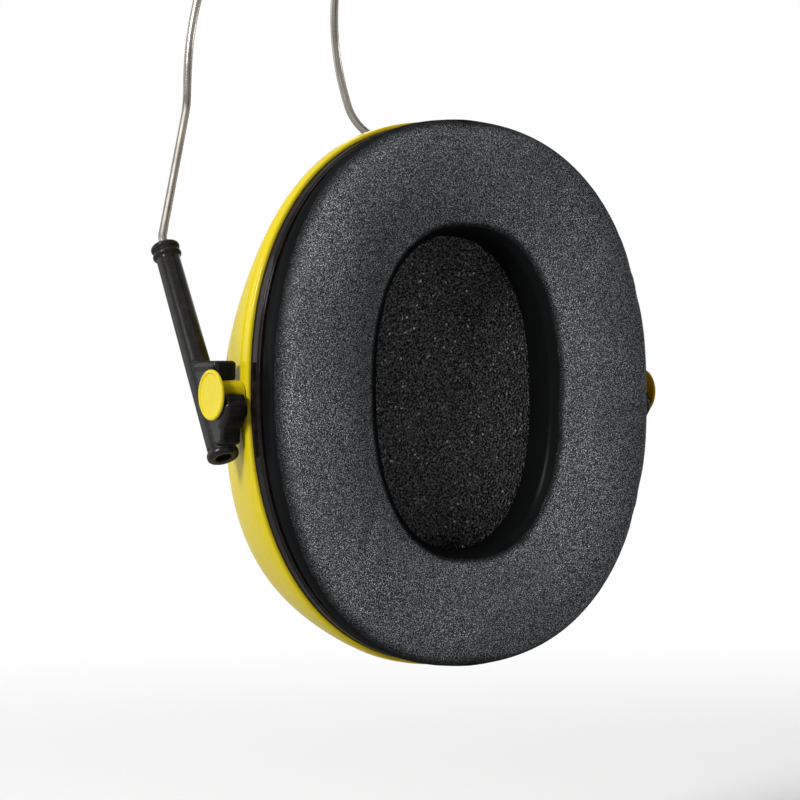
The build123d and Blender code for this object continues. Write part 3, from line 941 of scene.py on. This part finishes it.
class EARMUFF_OT_absorbers(bpy.types.Operator):
    """Makes the speckled foam blocks that fill the shells"""

    bl_idname = "earmuff.absorbers"
    bl_label = "Absorber foams"

    def execute(self, context):
        shell, sizes = context.scene.earmuff_shell, context.scene.earmuff_seal
        spare = shell.wall + 2.1 * MM
        wide, tall = shell.rim_half_width - spare, shell.rim_half_height - spare - 0.9 * MM
        depth = shell.depth - shell.wall - 0.6 * MM
        back = dome_rows(wide, tall, depth, shell.band, shell.land_step, 20)
        back[:, 0] -= 0.3 * MM
        sunk, sag = 0.35 * MM, 1.1 * MM
        edge = drawn(back[0], -sunk, 0)
        share = np.linspace(0.02, 0.985, 56)
        dish = -sunk - sag * (1 - share**2)
        face = [scaled(edge, x, part) for x, part in zip(dish, share)]
        rings = ovals([*face, edge, *back])
        block = net(in_cup(rings), caps="fan")
        finish = speckled_foam(tuple(sizes.absorber_colour))
        for hand in HANDS:
            made = mesh_piece(f"{hand}_absorber", [block], hand)
            settle(made, f"{hand}_cup", [f"{hand}_absorber_foam"], finish, 60)
        return {"FINISHED"}


# ---------------------------------------------------------------- holders


def tube_directions(lean):
    """Directions along the holder's tube and from the stud to the tube, in the cup."""
    along = np.array((-math.sin(lean), 0, math.cos(lean)))
    return along, np.array((-along[2], 0, along[0]))


def tube_middle(sizes, sign):
    """The point on the tube's axis that is nearest the stud, at the cup's front or rear."""
    across = tube_directions(sizes.lean)[1]
    clip = bpy.context.scene.earmuff_shell.rim_half_width + sizes.stand_off + sizes.thickness
    side = clip - sizes.bottom_radius - 0.1 * MM
    return np.array((-STUD_SETBACK, 0, 0)) + across * sizes.offset + np.array((0, sign * side, 0))


def holder_tube(sizes, bore, sign):
    """Rings of the tube: cone, two ring flanges, domed end, groove, foot ring and bore."""
    top, bottom = sizes.above, -sizes.below
    flange, foot = sizes.flange_radius, sizes.foot_radius
    narrow, wide = sizes.top_radius, sizes.bottom_radius
    ring, groove, mouth = bottom + 1.6 * MM, 0.35 * MM, 1.5 * MM
    corners = [
        (mouth, bottom),
        (foot, bottom),
        (foot, ring),
        (wide - groove, ring),
        (wide - groove, ring + groove),
        (wide, ring + groove),
        (narrow, top - 2.95 * MM),
        (flange, top - 2.95 * MM),
        (flange, top - 1.85 * MM),
        (narrow, top - 1.85 * MM),
        (narrow, top - 1.3 * MM),
        (flange, top - 1.3 * MM),
        (flange, top - 0.25 * MM),
        (bore + 0.3 * MM, top + 0.2 * MM),
        (bore, top),
        (bore, bottom + 4 * MM),
        (mouth, bottom + 4 * MM),
    ]
    radii = [0.2, 0.55, 0.5, 0.1, 0.1, 0.1, 0.1, 0.5, 0.5, 0.1, 0.1, 0.45, 0.6, 0.15, 0, 0, 0]
    profile = spaced(rounded(corners, np.array(radii) * MM, closed=True), 1.2 * MM)
    along = tube_directions(sizes.lean)[0]
    return turned(profile, tube_middle(sizes, sign), along, np.array((0.0, 1.0, 0.0)), 72)


def clip_outline(sizes, neck):
    """Outline of the clip's plate round the stud, from the wall of the tube to the jaws."""
    along, across = (direction[[0, 2]] for direction in tube_directions(sizes.lean))
    foot = across * (sizes.offset - 1.7 * MM)
    top = sizes.clip_radius
    web_top = foot + along * ((top - foot[1]) / along[1])
    web_foot = foot - along * (sizes.below - 2.0 * MM)
    jaw, split = neck + 0.05 * MM, 0.35 * MM
    corners = np.array(
        [
            (split, math.sqrt(jaw**2 - split**2)),
            (split, top),
            web_top,
            web_foot,
            (1.9 * MM, web_foot[1] + 0.1 * MM),
            (2.1 * MM, -6.4 * MM),
            (4.4 * MM, -3.9 * MM),
            (4.75 * MM, -1.75 * MM),
            (3.9 * MM, -1.0 * MM),
            (3.7 * MM, 0.15 * MM),
            (jaw, 0.15 * MM),
        ]
    )
    radii = np.array([0, 0.8, 0, 0, 0.8, 1.4, 2.2, 0.6, 0.5, 0.5, 0]) * MM
    first, last = math.radians(3), math.radians(82.8 - 360)
    a = np.linspace(first, last, 48)[1:-1]
    bore = jaw * np.stack([np.cos(a), np.sin(a)], 1)
    return np.vstack([spaced(rounded(corners, radii), 0.6 * MM), bore])


def clip_rings(outline, low, high, edge, sign):
    """A slab from the clip's plane, set in place on the cup's front or rear."""
    rings = slab(outline, low, high, edge)
    return rings[..., [0, 2, 1]] * (1, sign, 1) - (STUD_SETBACK, 0, 0)


class EARMUFF_OT_holders(bpy.types.Operator):
    """Makes the sliding tubes with their snap clips, each moulded in one"""

    bl_idname = "earmuff.holders"
    bl_label = "Holders"

    def execute(self, context):
        shell, sizes = context.scene.earmuff_shell, context.scene.earmuff_holder
        bore = context.scene.earmuff_band.wire_radius + 0.1 * MM
        low = shell.rim_half_width + sizes.stand_off
        high = low + sizes.thickness
        plate = clip_outline(sizes, shell.neck_radius)
        # Corners of the ribs over the jaws and along the top, in millimetres from the stud.
        ribs = (
            [(2.6, -0.6), (4.5, -1.9), (4.5, -3.8), (2.3, -6.3), (0.6, -6.6), (1.4, -3.6)],
            [(-8.2, 4.6), (0.3, 4.6), (0.3, 6.5), (-8.6, 6.5)],
        )
        finish = moulded_black(tuple(sizes.colour))
        for place, sign in FACES.items():
            shells = [
                net(in_cup(holder_tube(sizes, bore, sign)), loop=True),
                net(in_cup(clip_rings(plate, low, high - 0.45 * MM, 0.5 * MM, sign)), caps="face"),
            ]
            for rib in ribs:
                rim = rounded(np.array(rib) * MM, np.full(len(rib), 0.8 * MM), closed=True)
                rings = clip_rings(spaced(rim, 0.6 * MM), low - 0.3 * MM, high, 0.9 * MM, sign)
                shells.append(net(in_cup(rings), caps="face"))
            for hand in HANDS:
                made = mesh_piece(f"{hand}_{place}_clip", shells, hand)
                stiffen(made, "REMESH", mode="VOXEL", voxel_size=HOLDER_GRID)
                stiffen(made, "SMOOTH", factor=0.5, iterations=6)
                node = f"{hand}_{place}_holder"
                settle(made, f"{hand}_suspension", [node], finish, 60)
        return {"FINISHED"}


# ---------------------------------------------------------------- headband


def crown_corner(sizes):
    """Height of the corner in which the wires' slopes would meet over the crown."""
    run = sizes.shoulder_out - RIM_CENTRE[0]
    return sizes.shoulder_height + run * math.tan(sizes.crown_slope)


def over_crown(sizes, across, lift, angles):
    """Places over the crown: an angle from the middle about the line that the wires' arc
    turns about, a distance to the side and a height over the wires."""
    axis = crown_corner(sizes) - sizes.crown_radius / math.cos(sizes.crown_slope)
    reach = sizes.crown_radius + lift
    return np.stack([reach * np.sin(angles), across + 0 * reach, axis + reach * np.cos(angles)], -1)


def wire_path(sizes, holder, sign):
    """A wire's middle line, from the foot of the left holder over the crown to the right one.

    It leaves the tube at a kink, leans out to a lower bend, rises to the shoulder and goes
    over the crown in one arc. The shoulder's arc is as large as the leg below it allows.
    """
    along = tube_directions(holder.lean)[0]
    middle = tube_middle(holder, sign)
    end = in_cup(middle - along * (holder.below - 2 * MM))
    kink = in_cup(middle + along * (holder.above + 1.8 * MM))
    out, spread = RIM_CENTRE[0], sign * sizes.crown_spread
    bend = np.array((out - sizes.bend_out, sign * sizes.bend_spread, sizes.bend_height))
    shoulder = np.array((out - sizes.shoulder_out, spread, sizes.shoulder_height))
    crown = np.array((0, spread, crown_corner(sizes)))
    leg, slope = shoulder - bend, crown - shoulder
    cosine = leg @ slope / np.linalg.norm(leg) / np.linalg.norm(slope)
    room = np.linalg.norm(leg) - 6.2 * MM
    left = [end, kink, bend, shoulder]
    right = [for_hand(point, "right") for point in left[::-1]]
    radii = [0, 4 * MM, 12 * MM, room / math.tan(math.acos(cosine) / 2)]
    path = rounded([*left, crown, *right], [*radii, sizes.crown_radius, *radii[::-1]], 28)
    return spaced(path, 4 * MM)


def wire_rings(path, radius):
    """Rings of a wire, with a smaller one past each end for the cut edge's round-off."""
    rings = tube(path, radius, 20)
    before, after = (
        place + (ring - place) * 0.6 + way / np.linalg.norm(way) * (radius * 0.35)
        for place, ring, way in (
            (path[0], rings[:1], path[0] - path[1]),
            (path[-1], rings[-1:], path[-1] - path[-2]),
        )
    )
    return np.concatenate([before, rings, after])


class EARMUFF_OT_wires(bpy.types.Operator):
    """Makes the two sprung wires from holder to holder over the crown"""

    bl_idname = "earmuff.wires"
    bl_label = "Wires"

    def execute(self, context):
        sizes, holder = context.scene.earmuff_band, context.scene.earmuff_holder
        finish = drawn_steel(tuple(sizes.steel))
        for place, sign in FACES.items():
            rings = wire_rings(wire_path(sizes, holder, sign), sizes.wire_radius)
            run = distance_along(rings.mean(1))
            shell = net(rings, caps="fan", across=run, around=TURN * sizes.wire_radius)
            made = mesh_piece(f"{place}_spring_wire", [shell])
            settle(made, "headband", [f"{place}_wire"], finish, 60)
        return {"FINISHED"}


def sleeve_section(side, over, under):
    """Cross-section of the sleeve, as (to the side, over the wires), with a weld on each side."""
    seam, weld = -2.4 * MM, side + 1.5 * MM
    corners = [
        (weld, seam + 0.4 * MM),
        (side + 0.1 * MM, seam + 0.45 * MM),
        (side - 1.6 * MM, over),
        (-side + 1.6 * MM, over),
        (-side - 0.1 * MM, seam + 0.45 * MM),
        (-weld, seam + 0.4 * MM),
        (-weld, seam - 0.4 * MM),
        (-side - 0.1 * MM, seam - 0.45 * MM),
        (-side + 1.2 * MM, -under),
        (side - 1.2 * MM, -under),
        (side + 0.1 * MM, seam - 0.45 * MM),
        (weld, seam - 0.4 * MM),
    ]
    radii = np.array([0.3, 0.8, 2.6, 2.6, 0.8, 0.3, 0.3, 0.8, 3.5, 3.5, 0.8, 0.3]) * MM
    return spaced(rounded(corners, radii, closed=True), 1.0 * MM)


def sleeve_rings(section, side, over, under, half, sizes):
    """Rings of the sleeve along its arc, which closes to a flat welded lip at each end.

    At a share s of the half length the section keeps sqrt(1 - s^14) of its height over the
    lip's. Shares lie closer near the ends. The lip reaches past its share by a small angle.
    """
    count, lip, past, cap = 97, 1.35 * MM, 0.006, 0.8 * MM
    s = np.sin(np.linspace(-np.pi / 2, np.pi / 2, count))
    s = 0.35 * s + 0.65 * np.linspace(-1, 1, count)
    full = (1 - abs(s) ** 14) ** 0.5
    thick = lip + (1 - lip / over) * over * full
    low = lip + (under - lip) * full
    narrow = 1 - 0.04 * (1 - full)
    lift = section[:, 1][None]
    lift = np.where(lift > 0, lift / over * thick[:, None], lift / under * low[:, None])
    across = section[:, 0][None] * narrow[:, None]
    rings = over_crown(sizes, across, lift, (s * half)[:, None])
    ends = np.array([[-1.0], [1.0]]) * (half + past)
    closed = over_crown(sizes, across[[0, -1]], lift[[0, -1]], ends)
    held = (abs(section[:, 0]) > side - 0.2 * MM)[None] | (abs(s) > 0.96)[:, None]
    return np.concatenate([closed[:1], inflated(rings, held, cap), closed[1:]])


class EARMUFF_OT_pad(bpy.types.Operator):
    """Makes the crown pad: a welded foil sleeve over a soft strip"""

    bl_idname = "earmuff.pad"
    bl_label = "Crown pad"

    def execute(self, context):
        sizes = context.scene.earmuff_band
        side, half = sizes.foam_half_width, sizes.pad_span / 2
        carrier_under, girth = 2.3 * MM, 0.1
        over, under = 3.2 * MM, carrier_under + sizes.foam_thickness + 0.9 * MM
        section = sleeve_section(side, over, under)
        rings = sleeve_rings(section, side, over, under, half, sizes)
        sleeve = net(rings, caps="face", across=distance_along(rings.mean(1)), around=girth)
        skin = grained_foil("pad_foil", tuple(sizes.sleeve_colour), -1.0, 1.0, 1 * MM)
        made = mesh_piece("crown_sleeve", [sleeve])
        settle(made, "headband", ["headband_cover"], skin, 50)
        depth, wide = sizes.foam_thickness / 2, side - 0.8 * MM
        corners = [(wide, depth), (-wide, depth), (-wide, -depth), (wide, -depth)]
        strip = rounded(corners, np.full(4, 1.5 * MM), closed=True)
        angles = np.linspace(-half * 0.93, half * 0.93, 60)[:, None]
        lift = strip[:, 1] + (-carrier_under - depth - 0.1 * MM)
        core = over_crown(sizes, strip[:, 0] + 0 * angles, lift + 0 * angles, angles)
        made = mesh_piece("crown_foam", [net(core, caps="face")])
        foam = soft_foam(tuple(context.scene.earmuff_seal.foam_colour))
        settle(made, "headband", ["headband_foam"], foam, 60)
        carrier = frame["nodes"]["headband_carrier"]
        carrier.data.materials.clear()
        carrier.data.materials.append(moulded_black(tuple(context.scene.earmuff_holder.colour)))
        return {"FINISHED"}


# ---------------------------------------------------------------- stage


class EARMUFF_OT_stage(bpy.types.Operator):
    """Makes the camera, the floor, the world and the lamps"""

    bl_idname = "earmuff.stage"
    bl_label = "Stage"

    def execute(self, context):
        scene, sizes = context.scene, context.scene.earmuff_stage
        scene.view_settings.view_transform = "Standard"
        self.camera(scene)
        self.floor(scene, sizes)
        self.light(scene)
        return {"FINISHED"}

    def camera(self, scene):
        """A long lens in front of the left cup, from the head's side."""
        back = np.array((math.cos(CAMERA_BEARING), -math.sin(CAMERA_BEARING), 0))
        right = np.array((math.sin(CAMERA_BEARING), math.cos(CAMERA_BEARING), 0))
        place = RIM_CENTRE + back * CAMERA_DISTANCE - right * CAMERA_LEFT - UP * CAMERA_DOWN
        sideways = right * math.cos(CAMERA_ROLL) + UP * math.sin(CAMERA_ROLL)
        upright = np.cross(back, sideways)
        turn = Matrix([sideways, upright, back]).transposed().to_4x4()
        made = bpy.data.objects.new("camera", bpy.data.cameras.new("camera"))
        made.matrix_world = Matrix.Translation(Vector(place)) @ turn
        made.data.sensor_width = CAMERA_SENSOR
        made.data.lens = CAMERA_LENS
        made.data.clip_start, made.data.clip_end = 0.01, 20
        scene.collection.objects.link(made)
        scene.camera = made

    def floor(self, scene, sizes):
        """A round floor that keeps the shadow near the object and is plain white far off."""
        columns, low = 96, -sizes.floor_drop
        radius = np.concatenate([[0.02], np.linspace(0.1, 4.0, 30)])
        profile = np.stack([radius, low + 0 * radius], 1)
        rings = turned(profile, (0, 0, 0), UP, np.array((1.0, 0, 0)), columns)
        points, faces, _ = net(rings)
        middle = len(points)
        points = np.vstack([points, (0, 0, low)])
        faces += [[(j + 1) % columns, j, middle] for j in range(columns)]
        mesh = bpy.data.meshes.new("floor")
        mesh.from_pydata(points.tolist(), [], faces)
        made = bpy.data.objects.new("floor", mesh)
        scene.collection.objects.link(made)
        finish = Finish("floor_white", Roughness=0.9, Specular_IOR_Level=0.0)
        seen, full = finish.seen(), tuple(sizes.floor_colour)
        finish.feed(Base_Color=finish.blend(seen, times(full, 0.6), full))
        where = finish.node("TexCoord").outputs["Object"]
        distance = finish.node("VectorMath", {0: where}, operation="LENGTH").outputs[1]
        share = finish.math("MULTIPLY", finish.ramp(distance, 0.25, 0.7), seen)
        white = finish.node("Emission", {"Color": WHITE, "Strength": 1.0}).outputs[0]
        mixed = finish.node("MixShader", {0: share, 1: finish.shader.outputs[0], 2: white})
        out = finish.tree.nodes["Material Output"]
        finish.tree.links.new(mixed.outputs[0], out.inputs[0])
        made.data.materials.append(finish.material)

    def light(self, scene):
        """A dim grey world that is seen as white, and the soft lamps."""
        world = bpy.data.worlds.new("studio")
        world.use_nodes = True
        scene.world = world
        tree = world.node_tree
        ground = tree.nodes["Background"]
        ground.inputs["Color"].default_value = WHITE
        ground.inputs["Strength"].default_value = WORLD_STRENGTH
        nodes = Nodes(tree)
        white = nodes.node("Background", {"Color": WHITE})
        mix = {0: nodes.seen(), 1: ground.outputs[0], 2: white.outputs[0]}
        mixed = nodes.node("MixShader", mix)
        tree.links.new(mixed.outputs[0], tree.nodes["World Output"].inputs[0])
        for name, place, target, size, power in LAMPS:
            lamp = bpy.data.lights.new(name, "AREA")
            lamp.shape = "RECTANGLE"
            lamp.size, lamp.size_y = size
            lamp.energy = power
            made = bpy.data.objects.new(name, lamp)
            aim = Vector(target) - Vector(place)
            made.rotation_euler = aim.to_track_quat("-Z", "Y").to_euler()
            made.location = place
            scene.collection.objects.link(made)


# ---------------------------------------------------------------- add-on

OPERATORS = (
    EARMUFF_OT_stage,
    EARMUFF_OT_shells,
    EARMUFF_OT_studs,
    EARMUFF_OT_backplates,
    EARMUFF_OT_cushions,
    EARMUFF_OT_absorbers,
    EARMUFF_OT_holders,
    EARMUFF_OT_wires,
    EARMUFF_OT_pad,
)
SETTINGS = {
    "earmuff_shell": EarmuffShell,
    "earmuff_seal": EarmuffSeal,
    "earmuff_holder": EarmuffHolder,
    "earmuff_band": EarmuffBand,
    "earmuff_stage": EarmuffStage,
}


class EARMUFF_PT_panel(bpy.types.Panel):
    """Lists the steps that build the earmuff, and their settings"""

    bl_idname = "EARMUFF_PT_panel"
    bl_label = "Earmuff"
    bl_space_type = "VIEW_3D"
    bl_region_type = "UI"
    bl_category = "Earmuff"

    def draw(self, context):
        for operator in OPERATORS:
            self.layout.operator(operator.bl_idname)
        for name, group in SETTINGS.items():
            box = self.layout.box()
            for key in group.__annotations__:
                box.prop(getattr(context.scene, name), key)


def register():
    """Registers the settings, the operators and the panel."""
    for name, group in SETTINGS.items():
        bpy.utils.register_class(group)
        setattr(bpy.types.Scene, name, bpy.props.PointerProperty(type=group))
    for item in (*OPERATORS, EARMUFF_PT_panel):
        bpy.utils.register_class(item)


def unregister():
    """Takes the panel, the operators and the settings away again."""
    for item in (EARMUFF_PT_panel, *reversed(OPERATORS)):
        bpy.utils.unregister_class(item)
    for name, group in SETTINGS.items():
        delattr(bpy.types.Scene, name)
        bpy.utils.unregister_class(group)


def main():
    """Builds every piece."""
    register()
    for operator in OPERATORS:
        group, step = operator.bl_idname.split(".")
        getattr(getattr(bpy.ops, group), step)()


if __name__ == "__main__":
    main()
